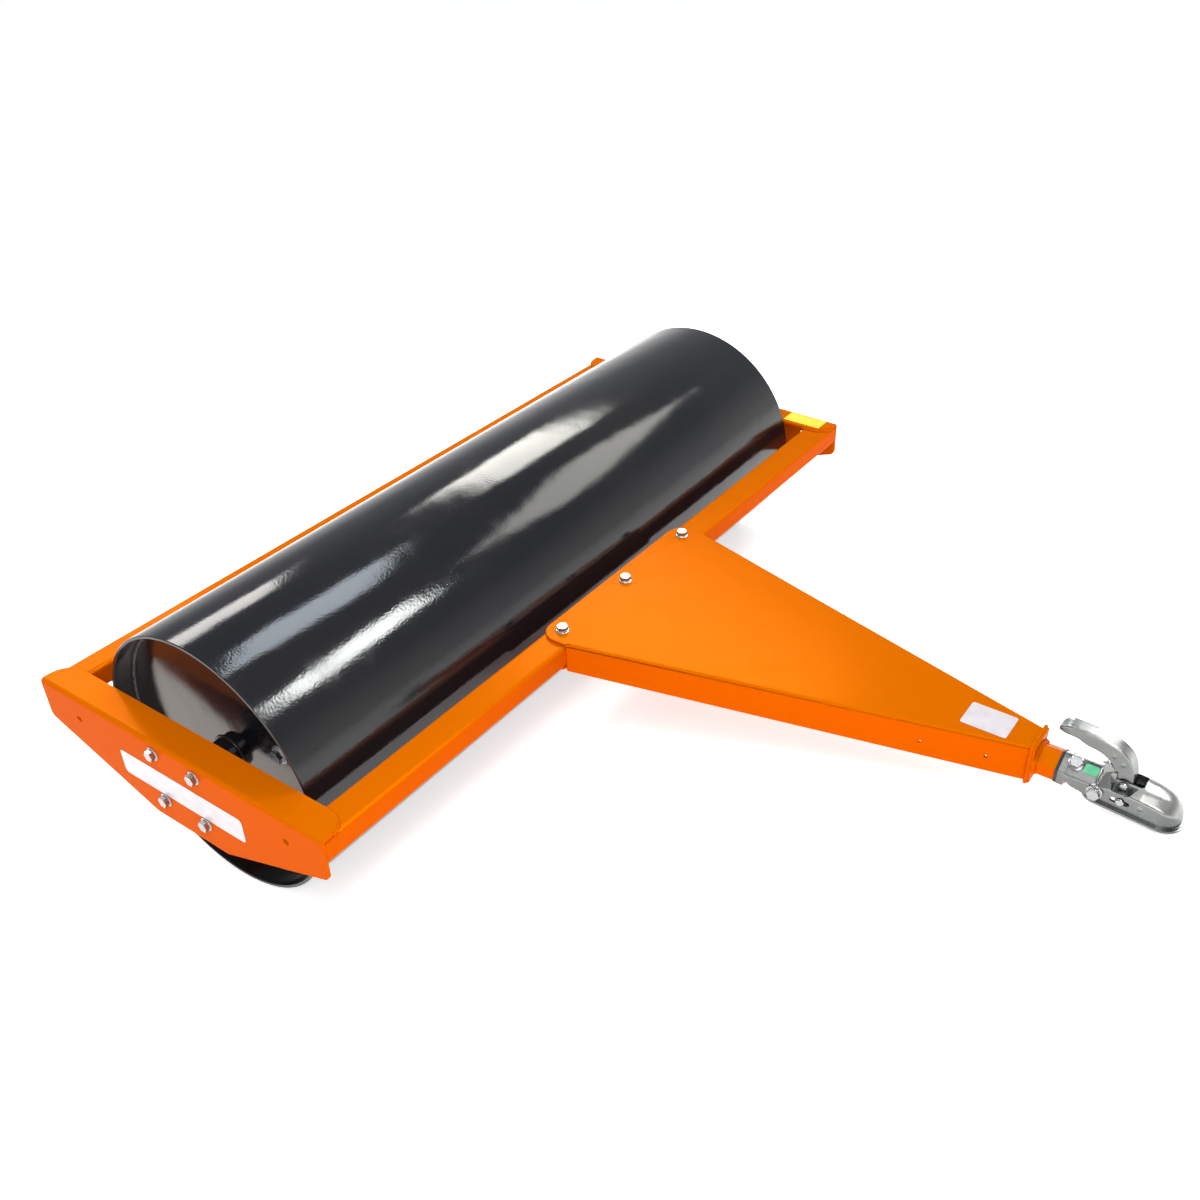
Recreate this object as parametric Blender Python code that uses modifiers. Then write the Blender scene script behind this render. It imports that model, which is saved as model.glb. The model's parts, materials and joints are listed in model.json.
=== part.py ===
"""Towed lawn roller: a water-ballast drum in a welded frame, with a bolted drawbar and a ball coupling.

Metres, +Z up. The origin is on the ground at the middle of the bounding box, -Y points to the hitch.
The roller stands unhitched: the drum and the nose of the coupling are on the ground.
Parts of the frame are drawn from the axle: X along the axle, Y to the rear, Z up, level when towed.
"""
import math

import bmesh
import bpy
from mathutils import Matrix, Vector

GAP = 0.0003                    # between pieces that touch

# Drum
DRUM_LENGTH = 1.500
DRUM_RADIUS = 0.250
SHELL = 0.006
DRUM_STEPS = 96
END_RECESS = 0.040              # from the rim to the end plate
END_PLATE = 0.008
BOSS_RADIUS = 0.033
SHAFT_RADIUS = 0.020
PLUG_AT = (-0.150, 0.040)       # filler plug on the left end plate, from the axle
PLUG_RADIUS = 0.013

# Frame
HALF_WIDTH = 0.815              # to the outer face of a side frame
FRONT = -0.345
REAR = 0.350
TOP = 0.0745                    # upper face of the side flanges above the axle
PLATE = 0.006                   # side frames and drawbar
FLANGE = 0.058
BEND = 0.008
FOLD = 0.0055                   # outer radius of the drawbar's folded edges
CABLE_HOLES = (-0.960, -1.064)
FLANGE_CORNER = 0.042
WEB_DEPTH = 0.172
WEB_END_DEPTH = 0.080
WEB_FLAT = 0.090                # half of the level lower edge
JIG_HOLE = 0.0065
BEAM_HEIGHT = 0.044
FRONT_BEAM = 0.060
REAR_BEAM = 0.050
BEAM_WALL = 0.003
BEAM_CORNER = 0.008

# Bearings
BEARING_PITCH = 0.102           # between bolts, both ways
BEARING_SQUARE = 0.130
BEARING_FLANGE = 0.014
BEARING_DEPTH = 0.036
RACE_RADIUS = 0.040
INNER_RING_RADIUS = 0.027

# M12 flange bolts
BOLT = 0.006
BOLT_HOLE = 0.0064
BOLT_FLANGE = 0.013
HEX = 0.0104                    # corner radius of the hexagon
NUT = 0.010

# Drawbar
DRAWBAR_END = -1.130
DRAWBAR_HALF = 0.228
DRAWBAR_TIP_HALF = 0.0292
DRAWBAR_DEPTH = 0.060
DRAWBAR_TIP_DEPTH = 0.070
EAR_HALF = 0.232
EAR_CORNER = 0.035
DRAWBAR_BOLTS = 0.197
CLAMP_PLATE = 0.005
END_PLATE_HALF = 0.0325
END_PLATE_LOW = TOP - 0.073

# Hitch tube: six sides, with an edge at the top and one at the bottom
TUBE_HALF = 0.0287              # middle to a side face
TUBE_HIGH = 0.0280              # middle to the top edge
TUBE_SHOULDER = 0.0114          # middle to the upper end of a side face
TUBE_CORNER = 0.003
TUBE_WALL = 0.004
TUBE_Z = TOP - 0.038
TUBE_START = DRAWBAR_END - 0.006 - GAP
TUBE_END = -1.250
TONGUE_START = -1.1865          # from here on the tube's lower part is cut away
TONGUE_LOW = TOP - 0.047
COLLAR = (-1.1710, -1.1758)
COLLAR_GROWTH = 0.0014

# Ball coupling
NECK = (-1.1762, -1.1872)
NECK_GROWTH = 0.0020
BODY_HALF = 0.0320
NOSE_CENTRE = -1.334
NOSE_RADIUS = 0.0325
RIM_RADIUS = 0.0375
RIM = 0.004
RIM_STEP = 0.0346               # half the width of the step above the rim
RIM_START = -1.2120
RIM_DROP = math.radians(3.9)    # the rim dips towards the nose
RIM_NOSE_Z = TOP - 0.0643
BALL_Y = -1.330
BALL_Z = TOP - 0.046
BALL_SPACE = 0.0255
CAVITY_HALF = 0.0275
CAVITY_TOP = TOP - 0.0285
SOCKET_TOP = TOP - 0.0212       # the flat middle of the dome over the ball
STEP_Y = -1.2555                # front edge of the raised part beside the lever
LIP_Y = -1.3035
NOSE_STATIONS = (13, 25, 36, 46, 55, 63, 70, 76, 81, 85)   # degrees round the nose
NOSE_CROWN = -0.0140            # the nose's crown at its start, from the frame's top
NOSE_FALL = 0.0380              # how far the crown drops to the tip
NOSE_RISE = 0.238               # the apex above the crown, and the shoulder below it, per half width
NOSE_DROP = 0.465                 # front end of the lever's slot
PIVOT = (-1.2742, TOP - 0.0159)
PIVOT_RADIUS = 0.004
LUG_HALF = 0.018
LUG_RADIUS = 0.0085
LEVER_HALF = 0.014
LEVER_WALL = 0.0025
LEVER_DIMPLES = ((0.0244, 0.0451), (0.0085, 0.0349))
LEVER_SLOT_HALF = 0.0155
CLAMP_PIN = (-1.2768, TOP - 0.0376)
CLAMP_HALF = 0.0245
SIDE_BOLT = (-1.2374, TOP - 0.0360)
SIDE_PAD = 0.0335
ROOF_SLOPE = math.radians(30)
ROOF_APEX = TOP - 0.0075
ROOF_BOLT = (-0.0108, -1.1972)
WELD_SPACER = 0.0012            # between the tube's wall and its weld nut
ROOF_LABEL = (-0.0122, -1.2224)

# Standing on the ground: a flat of the drum and the nose's rim touch it
AXLE_HEIGHT = DRUM_RADIUS * math.cos(math.pi / DRUM_STEPS)
NOSE_Y = NOSE_CENTRE - RIM_RADIUS
AXLE_Y = 0.50327
REACH = math.hypot(NOSE_Y, RIM_NOSE_Z)
TILT = math.asin(AXLE_HEIGHT / REACH) + math.atan2(RIM_NOSE_Z, -NOSE_Y)

SMOOTH = math.radians(35)

# How an outline's two directions and its thickness lie in the frame
PLAN = Matrix(((1, 0, 0), (0, 1, 0), (0, 0, 1))).to_4x4()
SIDE = Matrix(((0, 0, 1), (1, 0, 0), (0, 1, 0))).to_4x4()
SECTION = Matrix(((1, 0, 0), (0, 0, -1), (0, 1, 0))).to_4x4()


def collection(name):
    made = bpy.data.collections.new(name)
    bpy.context.scene.collection.children.link(made)
    return made


def material(name, colour, roughness, metallic):
    made = bpy.data.materials.new(name)
    made.use_nodes = True
    shader = made.node_tree.nodes["Principled BSDF"]
    shader.inputs["Base Color"].default_value = (*colour, 1)
    shader.inputs["Roughness"].default_value = roughness
    shader.inputs["Metallic"].default_value = metallic
    return made


def empty(name, parent=None):
    made = bpy.data.objects.new(name, None)
    made.parent = parent
    PARTS.objects.link(made)
    return made


def put(obj, parent, place, look=None):
    """Places a piece under its parent, with its material."""
    obj.parent = parent
    obj.matrix_local = place
    if look:
        obj.data.materials.clear()
        obj.data.materials.append(look)
    return obj


def move(x=0.0, y=0.0, z=0.0):
    return Matrix.Translation((x, y, z))


def along(direction, at=(0, 0, 0)):
    """A placement that lays local +Z along a direction."""
    return Matrix.Translation(at) @ Vector(direction).to_track_quat("Z", "Y").to_matrix().to_4x4()


def link(obj, cutter=False):
    if cutter:
        CUTTERS.objects.link(obj)
        obj.hide_render = True
        obj.display_type = "WIRE"
    else:
        PARTS.objects.link(obj)
    return obj


def finish(mesh):
    mesh.shade_smooth()
    mesh.set_sharp_from_angle(angle=SMOOTH)
    return mesh


def frozen(obj):
    """The mesh of an object in place, with loose caps welded; the object is removed."""
    bpy.context.view_layer.update()
    view = obj.evaluated_get(bpy.context.evaluated_depsgraph_get())
    mesh = bpy.data.meshes.new_from_object(view)
    mesh.transform(obj.matrix_world)
    work = bmesh.new()
    work.from_mesh(mesh)
    bmesh.ops.remove_doubles(work, verts=work.verts, dist=0.00001)
    bmesh.ops.recalc_face_normals(work, faces=work.faces)
    work.to_mesh(mesh)
    work.free()
    bpy.data.objects.remove(obj)
    return finish(mesh)


def plate(name, plane, middle, thickness, outline, *holes, parent, look=None, cutter=False):
    """A flat piece: an outline with holes, as thick as given, centred on a plane."""
    curve = bpy.data.curves.new(name, "CURVE")
    curve.dimensions = "2D"
    curve.fill_mode = "BOTH"
    curve.extrude = thickness / 2
    for loop in (outline, *holes):
        spline = curve.splines.new("POLY")
        spline.points.add(len(loop) - 1)
        for point, (u, v) in zip(spline.points, loop):
            point.co = (u, v, 0, 1)
        spline.use_cyclic_u = True
    rough = link(bpy.data.objects.new(name, curve))
    made = link(bpy.data.objects.new(name, frozen(rough)), cutter)
    made.name = name
    return put(made, parent, plane @ move(z=middle), look)


def turned(name, profile, place, parent, look=None, steps=32, ring=False, cutter=False):
    """A turned piece: (radius, height) points from the top down, turned about local Z."""
    mesh = bpy.data.meshes.new(name)
    count = len(profile)
    edges = [(i, i + 1) for i in range(count - 1)]
    if ring:
        edges.append((count - 1, 0))
    mesh.from_pydata([(radius, 0, height) for radius, height in profile], edges, [])
    rough = link(bpy.data.objects.new(name, mesh))
    screw = rough.modifiers.new("turn", "SCREW")
    screw.angle = 2 * math.pi
    screw.steps = screw.render_steps = steps
    screw.use_merge_vertices = True
    screw.merge_threshold = 0.00001
    made = link(bpy.data.objects.new(name, frozen(rough)), cutter)
    made.name = name
    return put(made, parent, place, look)


def loft(name, sections, parent, look=None, cutter=False):
    """A closed body through sections that have the same number of points."""
    mesh = bpy.data.meshes.new(name)
    work = bmesh.new()
    rings = [[work.verts.new(point) for point in section] for section in sections]
    count = len(rings[0])
    for one, two in zip(rings, rings[1:]):
        for i in range(count):
            j = (i + 1) % count
            work.faces.new((one[i], one[j], two[j], two[i]))
    work.faces.new(rings[0])
    work.faces.new(rings[-1])
    bmesh.ops.recalc_face_normals(work, faces=work.faces)
    work.to_mesh(mesh)
    work.free()
    made = link(bpy.data.objects.new(name, finish(mesh)), cutter)
    return put(made, parent, Matrix(), look)


def combine(piece, operation, *others):
    for other in others:
        step = piece.modifiers.new(other.name, "BOOLEAN")
        step.operation = operation
        step.object = other
    return piece


def corner_arc(before, corner, after, radius, steps):
    """Points that round one corner of an outline."""
    corner = Vector(corner)
    one = (Vector(before) - corner).normalized()
    two = (Vector(after) - corner).normalized()
    half = one.angle(two) / 2
    centre = corner + (one + two).normalized() * (radius / math.sin(half))
    start = corner + one * (radius / math.tan(half)) - centre
    end = corner + two * (radius / math.tan(half)) - centre
    turn = math.atan2(start.x * end.y - start.y * end.x, start.dot(end))
    points = []
    for i in range(steps + 1):
        a = turn * i / steps
        c, s = math.cos(a), math.sin(a)
        points.append((centre.x + start.x * c - start.y * s, centre.y + start.x * s + start.y * c))
    return points


def rounded(corners, steps=6):
    """An outline from (u, v, radius) corners."""
    points = []
    for i, (u, v, radius) in enumerate(corners):
        if radius:
            before, after = corners[i - 1][:2], corners[(i + 1) % len(corners)][:2]
            points += corner_arc(before, (u, v), after, radius, steps)
        else:
            points.append((u, v))
    return points


def box_outline(u0, u1, v0, v1, radius, steps=6):
    return rounded([(u0, v0, radius), (u1, v0, radius), (u1, v1, radius), (u0, v1, radius)], steps)


def circle(u, v, radius, steps=24):
    return [(u + radius * math.cos(2 * math.pi * i / steps), v + radius * math.sin(2 * math.pi * i / steps))
            for i in range(steps)]


def stadium(u0, u1, v, radius, steps=10):
    """A slot along u, between the middles of its two round ends."""
    points = []
    for end, start in ((u1, -90), (u0, 90)):
        for i in range(steps + 1):
            a = math.radians(start + 180 * i / steps)
            points.append((end + radius * math.cos(a), v + radius * math.sin(a)))
    return points


def hexagon(growth=0.0, corner=TUBE_CORNER, steps=3):
    """The hitch tube's outline, moved out by the growth."""
    half = TUBE_HALF + growth
    high = TUBE_HIGH + growth / math.cos(ROOF_SLOPE)
    shoulder = TUBE_SHOULDER + growth * math.tan(ROOF_SLOPE)
    corners = [(0, high), (-half, shoulder), (-half, -shoulder), (0, -high), (half, -shoulder), (half, shoulder)]
    return rounded([(u, TUBE_Z + v, corner) for u, v in corners], steps)


def screw_mesh(name, length, head=0.0095):
    """A flange bolt: its head above local Z = 0, its shank below."""
    shank = turned(name, [(0, 0.0020), (BOLT_FLANGE - 0.002, 0.0020), (BOLT_FLANGE, 0.0010), (BOLT_FLANGE, 0), (BOLT, 0),
                          (BOLT, -length), (0, -length)], Matrix(), None, steps=16)
    hexagon = plate(name + "_hex", PLAN, head / 2 + 0.0005, head, circle(0, 0, HEX, 6), parent=None,
                    cutter=True)
    combine(shank, "UNION", hexagon)
    return frozen(shank)


def nut_mesh(name, height=NUT):
    """A hexagon nut above local Z = 0."""
    bore = circle(0, 0, BOLT_HOLE - 0.0001, 16)
    return frozen(plate(name, PLAN, height / 2, height, circle(0, 0, HEX, 6), bore, parent=None))


def fastener(name, mesh, place, parent):
    obj = link(bpy.data.objects.new(name, mesh))
    return put(obj, parent, place, ZINC)


def hole(name, direction, at, radius, length, parent, steps=16):
    """A round cutter whose middle is at the point."""
    profile = [(0, length / 2), (radius, length / 2), (radius, -length / 2), (0, -length / 2)]
    return turned(name, profile, along(direction, at), parent, steps=steps, cutter=True)


def across(x, spin=0.0):
    """A turned piece's placement on the axle: local Z along X."""
    return move(x=x) @ Matrix.Rotation(math.radians(90), 4, "Y") @ Matrix.Rotation(spin, 4, "Z")


def drum_shell(parent):
    half, outer, inner, edge = DRUM_LENGTH / 2, DRUM_RADIUS, DRUM_RADIUS - SHELL, 0.0015
    profile = [(outer - edge, half), (outer, half - edge), (outer, edge - half), (outer - edge, -half),
               (inner, -half), (inner, half)]
    spin = math.pi / DRUM_STEPS
    turned("drum_shell", profile, across(0, spin), parent, BLACK, DRUM_STEPS, ring=True)


def drum_end(side, name, parent):
    """The recessed end plate and the stub axle welded through it."""
    inner_x = DRUM_LENGTH / 2 - END_RECESS - END_PLATE
    rim = DRUM_RADIUS - SHELL - 0.0007
    place = across(side * (inner_x + END_PLATE / 2))
    profile = [(rim, END_PLATE / 2), (rim, -END_PLATE / 2), (BOSS_RADIUS + GAP, -END_PLATE / 2),
               (BOSS_RADIUS + GAP, END_PLATE / 2)]
    end = turned("end_plate_" + name, profile, place, parent, BLACK, 64, ring=True)
    if side < 0:
        middle = (side * (inner_x + END_PLATE / 2), *PLUG_AT)
        combine(end, "DIFFERENCE", hole("plug_hole", (1, 0, 0), middle, PLUG_RADIUS + GAP, 0.03, parent))
    tip = HALF_WIDTH - PLATE - 0.004
    boss = inner_x + END_PLATE + 0.022
    axle = [(0, tip), (SHAFT_RADIUS - 0.002, tip), (SHAFT_RADIUS, tip - 0.002), (SHAFT_RADIUS, boss),
            (BOSS_RADIUS - 0.003, boss), (BOSS_RADIUS, boss - 0.003), (BOSS_RADIUS, inner_x - 0.012),
            (0, inner_x - 0.012)]
    turned("stub_axle_" + name, axle, along((side, 0, 0)), parent, BLACK, 32)


def filler_plug(parent):
    face = DRUM_LENGTH / 2 - END_RECESS
    plug = turned("filler_plug", [(0, 0.0030), (0.0165, 0.0030), (0.0175, 0.0020), (0.0175, GAP), (PLUG_RADIUS, GAP),
                                  (PLUG_RADIUS, -0.014), (0, -0.014)],
                  along((-1, 0, 0), (-face, *PLUG_AT)), parent, ZINC, 32)
    square = plate("plug_square", SIDE, -face - 0.008, 0.012, circle(*PLUG_AT, 0.0125, 6), parent=parent,
                   cutter=True)
    combine(plug, "UNION", square)


def bearing(side, name, frame, drum):
    """A four-bolt bearing: cast housing and outer race on the frame, inner ring on the axle."""
    web = HALF_WIDTH - PLATE - GAP
    half = BEARING_SQUARE / 2
    square = box_outline(-half, half, -half, half, 0.020)
    housing = plate("bearing_housing_" + name, SIDE, side * (web - BEARING_FLANGE / 2), BEARING_FLANGE, square,
                    parent=frame, look=CAST)
    boss = turned("boss_" + name, [(0, 0.013), (0.056, 0.013), (0.051, 0.018), (0.049, BEARING_DEPTH - 0.002),
                                   (0.047, BEARING_DEPTH), (0, BEARING_DEPTH)][::-1],
                  along((-side, 0, 0), (side * web, 0, 0)), frame, steps=32, cutter=True)
    bore = hole("bore_" + name, (1, 0, 0), (side * web, 0, 0), RACE_RADIUS + GAP, 0.12, frame, 32)
    combine(housing, "UNION", boss)
    combine(housing, "DIFFERENCE", bore)
    for i, (y, z) in enumerate(bearing_bolts()):
        combine(housing, "DIFFERENCE", hole(f"flange_hole_{name}_{i}", (1, 0, 0), (side * web, y, z), BOLT_HOLE, 0.1,
                                            frame))
    depth = BEARING_DEPTH - 0.004
    turned("bearing_race_" + name, [(RACE_RADIUS, depth), (RACE_RADIUS, 0.010), (INNER_RING_RADIUS + GAP, 0.010),
                                    (INNER_RING_RADIUS + GAP, depth)],
           along((-side, 0, 0), (side * web, 0, 0)), frame, STEEL, 32, ring=True)
    turned("bearing_ring_" + name, [(INNER_RING_RADIUS - 0.001, 0.050), (INNER_RING_RADIUS, 0.049),
                                    (INNER_RING_RADIUS, 0.008), (SHAFT_RADIUS + GAP, 0.008),
                                    (SHAFT_RADIUS + GAP, 0.050)],
           along((-side, 0, 0), (side * web, 0, 0)), drum, STEEL, 32, ring=True)


def bearing_bolts():
    half = BEARING_PITCH / 2
    return [(y, z) for z in (half, -half) for y in (half, -half)]


def side_frame(side, name, parent):
    """A folded plate: boat-shaped web and top flange, cut from one angle section."""
    inner = HALF_WIDTH - PLATE
    section = rounded([(side * HALF_WIDTH, TOP, BEND), (side * (HALF_WIDTH - FLANGE), TOP, 0),
                       (side * (HALF_WIDTH - FLANGE), TOP - PLATE, 0), (side * inner, TOP - PLATE, 0),
                       (side * inner, TOP - 0.3, 0), (side * HALF_WIDTH, TOP - 0.3, 0)])
    middle, length = -(FRONT + REAR) / 2, REAR - FRONT
    frame = plate("side_frame_" + name, SECTION, middle, length + 0.02, section, parent=parent, look=ORANGE)
    boat = rounded([(REAR, TOP + 0.05, 0), (FRONT, TOP + 0.05, 0), (FRONT, TOP - WEB_END_DEPTH, 0.014),
                    (-WEB_FLAT, TOP - WEB_DEPTH, 0.03), (WEB_FLAT, TOP - WEB_DEPTH, 0.03),
                    (REAR, TOP - WEB_END_DEPTH, 0.014)])
    web = plate("web_outline_" + name, SIDE, side * HALF_WIDTH, 0.2, boat, parent=parent, cutter=True)
    edge = HALF_WIDTH - FLANGE
    plan = rounded([(side * (HALF_WIDTH + 0.01), FRONT, 0), (side * (HALF_WIDTH + 0.01), REAR, 0),
                    (side * edge, REAR, FLANGE_CORNER), (side * edge, FRONT, FLANGE_CORNER)], 8)
    flange = plate("flange_outline_" + name, PLAN, TOP - 0.1, 0.4, plan, parent=parent, cutter=True)
    combine(frame, "INTERSECT", web, flange)
    for i, (y, z) in enumerate(bearing_bolts()):
        bolt_hole = hole(f"web_hole_{name}_{i}", (1, 0, 0), (side * inner, y, z), BOLT_HOLE, 0.05, parent)
        combine(frame, "DIFFERENCE", bolt_hole)
    for i, y in enumerate((-0.258, 0.258)):
        combine(frame, "DIFFERENCE", hole(f"jig_hole_{name}_{i}", (1, 0, 0), (side * inner, y, TOP - 0.048),
                                          JIG_HOLE, 0.05, parent))


def bearing_fasteners(side, name, bolt, nut, parent):
    nut_face = HALF_WIDTH - PLATE - GAP - BEARING_FLANGE - GAP
    for i, (y, z) in enumerate(bearing_bolts(), 1):
        place = along((side, 0, 0), (side * (HALF_WIDTH + GAP), y, z))
        fastener(f"bearing_bolt_{name}_{i}", bolt, place, parent)
        fastener(f"bearing_nut_{name}_{i}", nut, along((-side, 0, 0), (side * nut_face, y, z)), parent)


def beam(name, y0, y1, parent):
    high, wall = TOP - PLATE - GAP, BEAM_WALL
    outer = box_outline(y0, y1, high - BEAM_HEIGHT, high, BEAM_CORNER)
    inner = box_outline(y0 + wall, y1 - wall, high - BEAM_HEIGHT + wall, high - wall, BEAM_CORNER - wall)
    length = 2 * (HALF_WIDTH - PLATE - GAP)
    return plate(name, SIDE, 0, length, outer, inner, parent=parent, look=ORANGE)


def drawbar_top(parent):
    """The tapered top of the drawbar, with its ears over the front beam."""
    start = FRONT - 0.0005
    sections = []
    for y, half in ((start, DRAWBAR_HALF), (DRAWBAR_END, DRAWBAR_TIP_HALF)):
        outline = rounded([(half, TOP - PLATE, 0), (half, TOP, FOLD), (-half, TOP, FOLD),
                           (-half, TOP - PLATE, 0)])
        sections.append([(x, y, z) for x, z in outline])
    top = loft("drawbar_top", sections, parent, ORANGE)
    rear = FRONT + FRONT_BEAM + 0.001
    ears = rounded([(EAR_HALF, rear, EAR_CORNER), (-EAR_HALF, rear, EAR_CORNER), (-DRAWBAR_HALF, start, 0),
                    (-DRAWBAR_HALF + 0.012, start - 0.012, 0), (DRAWBAR_HALF - 0.012, start - 0.012, 0),
                    (DRAWBAR_HALF, start, 0)], 8)
    flat = plate("drawbar_ears", PLAN, TOP - PLATE / 2, PLATE, ears, parent=parent, cutter=True)
    combine(top, "UNION", flat)
    for i, x in enumerate(drawbar_bolts()):
        bolt_hole = hole(f"drawbar_hole_{i}", (0, 0, 1), (x, beam_middle(), TOP), BOLT_HOLE, 0.05, parent)
        combine(top, "DIFFERENCE", bolt_hole)


def drawbar_wall(side, name, parent):
    """One wall of the drawbar, which hangs from the edge of its top."""
    sections = []
    for y, half, depth in ((FRONT - 0.0005, DRAWBAR_HALF, DRAWBAR_DEPTH),
                           (DRAWBAR_END, DRAWBAR_TIP_HALF, DRAWBAR_TIP_DEPTH)):
        high, low = TOP - PLATE - GAP, TOP - depth
        sections.append([(side * half, y, low), (side * half, y, high), (side * (half - PLATE), y, high),
                         (side * (half - PLATE), y, low)])
    wall = loft("drawbar_wall_" + name, sections, parent, ORANGE)
    for i, y in enumerate(CABLE_HOLES):
        cable_hole = hole(f"cable_hole_{name}_{i}", (1, 0, 0), (0, y, TOP - 0.040), 0.0028, 0.6, parent, 16)
        combine(wall, "DIFFERENCE", cable_hole)


def drawbar_bolts():
    return (-DRAWBAR_BOLTS, 0.0, DRAWBAR_BOLTS)


def beam_middle():
    return FRONT + FRONT_BEAM / 2


def drawbar_fixing(parent):
    """The clamp plate under the front beam, and the three bolts through it."""
    beam_low = TOP - PLATE - GAP - BEAM_HEIGHT
    middle = beam_low - GAP - CLAMP_PLATE / 2
    outline = box_outline(-EAR_HALF - 0.004, EAR_HALF + 0.004, FRONT - 0.0, FRONT + FRONT_BEAM, 0.012)
    holes = [circle(x, beam_middle(), BOLT_HOLE) for x in drawbar_bolts()]
    plate("drawbar_clamp_plate", PLAN, middle, CLAMP_PLATE, outline, *holes, parent=parent, look=ORANGE)
    nut_face = middle - CLAMP_PLATE / 2 - GAP
    bolt = screw_mesh("long_bolt", TOP + GAP - nut_face + NUT + 0.002)
    nut = nut_mesh("long_nut")
    for i, x in enumerate(drawbar_bolts(), 1):
        fastener(f"drawbar_bolt_{i}", bolt, move(x, beam_middle(), TOP + GAP), parent)
        fastener(f"drawbar_nut_{i}", nut, along((0, 0, -1), (x, beam_middle(), nut_face)), parent)


def hitch_tube(parent):
    """The drawbar's end plate, the six-sided tube and its collar."""
    half = END_PLATE_HALF
    outline = box_outline(-half, half, END_PLATE_LOW, TOP + 0.002, 0.004, 3)
    plate("drawbar_end_plate", SECTION, -(DRAWBAR_END - GAP - 0.003), 0.006 - GAP, outline, parent=parent,
          look=ORANGE)
    middle, length = -(TUBE_START + TUBE_END) / 2, TUBE_START - TUBE_END
    tube = plate("hitch_tube", SECTION, middle, length, hexagon(), hexagon(-TUBE_WALL, 0.0008), parent=parent,
                 look=ORANGE)
    below = [(TONGUE_START, -0.1), (TONGUE_START, TONGUE_LOW + 0.013), (-1.2000, TONGUE_LOW + 0.007),
             (-1.2150, TONGUE_LOW + 0.003), (-1.2260, TONGUE_LOW), (TUBE_END - 0.01, TONGUE_LOW),
             (TUBE_END - 0.01, -0.1)]
    tongue = plate("tongue_cut", SIDE, 0, 0.1, below, parent=parent, cutter=True)
    combine(tube, "DIFFERENCE", tongue, *coupling_bolt_holes("tube", parent))
    thick = COLLAR[0] - COLLAR[1]
    plate("tube_collar", SECTION, -sum(COLLAR) / 2, thick, hexagon(COLLAR_GROWTH), hexagon(GAP), parent=parent,
          look=RUBBER)


def roof_normal():
    return Vector((-math.sin(ROOF_SLOPE), 0, math.cos(ROOF_SLOPE)))


def on_roof(x, y, above=0.0):
    """A point on the left slope of the socket's roof, or above it along the normal."""
    return Vector((x, y, ROOF_APEX + x * math.tan(ROOF_SLOPE))) + roof_normal() * above


def coupling_bolt_holes(name, parent):
    inward = on_roof(*ROOF_BOLT, -0.004)
    roof = hole("roof_hole_" + name, roof_normal(), inward, BOLT_HOLE, 0.024, parent)
    side = hole("side_hole_" + name, (1, 0, 0), (0, *SIDE_BOLT), BOLT_HOLE, 0.12, parent)
    return roof, side


def house(y, half, apex, shoulder, low, ridge, corner):
    """A section of the pressed body: two walls and a pitched roof with rounded corners."""
    corners = [(-half, low, 0), (-half, shoulder, corner), (0, apex, ridge), (half, shoulder, corner),
               (half, low, 0)]
    points = []
    for i, (x, z, radius) in enumerate(corners):
        if radius:
            points += corner_arc(corners[i - 1][:2], (x, z), corners[i + 1][:2], radius, 10 if i == 2 else 6)
        else:
            points.append((x, z))
    return [(x, y, TOP + z) for x, z in points]


def rim_upper(y):
    """Height of the rim's upper face, from the frame's top."""
    return RIM_NOSE_Z - TOP + RIM + (y - NOSE_Y) * math.tan(RIM_DROP)


def coupling_shape():
    """The pressed body: a pitched socket behind, a raised part beside the lever, a hood and a round nose."""
    half, apex = BODY_HALF, ROOF_APEX - TOP
    eaves = apex - half * math.tan(ROOF_SLOPE)
    sections = [house(-1.1862, half - 0.0008, apex - 0.0015, eaves - 0.0004, -0.0360, 0.005, 0.005),
                house(-1.1885, half - 0.0002, apex - 0.0003, eaves - 0.0001, -0.0385, 0.005, 0.005),
                house(-1.2000, half, apex, eaves, -0.0448, 0.006, 0.005),
                house(-1.2150, half, apex, eaves, -0.0475, 0.006, 0.005)]
    # Stations along the raised part, the hood and the lip: place, apex, shoulder and ridge rounding
    stations = [(-1.2340, apex, eaves, 0.006), (-1.2375, apex + 0.0035, eaves + 0.0004, 0.006),
                (-1.2425, 0.0090, eaves + 0.0010, 0.007), (-1.2470, 0.0190, -0.0246, 0.008),
                (-1.2510, 0.0238, -0.0236, 0.008), (STEP_Y, 0.0250, -0.0228, 0.008),
                (STEP_Y - 0.0050, 0.0250, -0.0223, 0.008), (STEP_Y - 0.0055, 0.0040, -0.0221, 0.034),
                (-1.2800, 0.0040, -0.0211, 0.034), (-1.2980, 0.0038, -0.0222, 0.035),
                (LIP_Y, 0.0052, -0.0227, 0.035), (LIP_Y - 0.0025, 0.0054, -0.0230, 0.035),
                (LIP_Y - 0.0060, 0.0034, -0.0234, 0.035), (-1.3200, 0.0010, -0.0246, 0.034),
                (-1.3280, -0.0026, -0.0255, 0.033), (NOSE_CENTRE, -0.0062, -0.0264, 0.032)]
    for y, apex, shoulder, ridge in stations:
        sections.append(house(y, half, apex, shoulder, rim_upper(y) - RIM / 2, ridge, 0.008))
    for degrees in NOSE_STATIONS:
        a = math.radians(degrees)
        y = NOSE_CENTRE - NOSE_RADIUS * math.sin(a)
        width = half * math.cos(a)
        crown = NOSE_CROWN - NOSE_FALL * (1 - math.cos(a)) ** 0.95
        apex, shoulder = crown + NOSE_RISE * width, crown - NOSE_DROP * width
        low = rim_upper(y) - RIM / 2
        sections.append(house(y, width, apex, max(shoulder, low + 0.004), low, width * 0.9, width * 0.26))
    return sections


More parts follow.
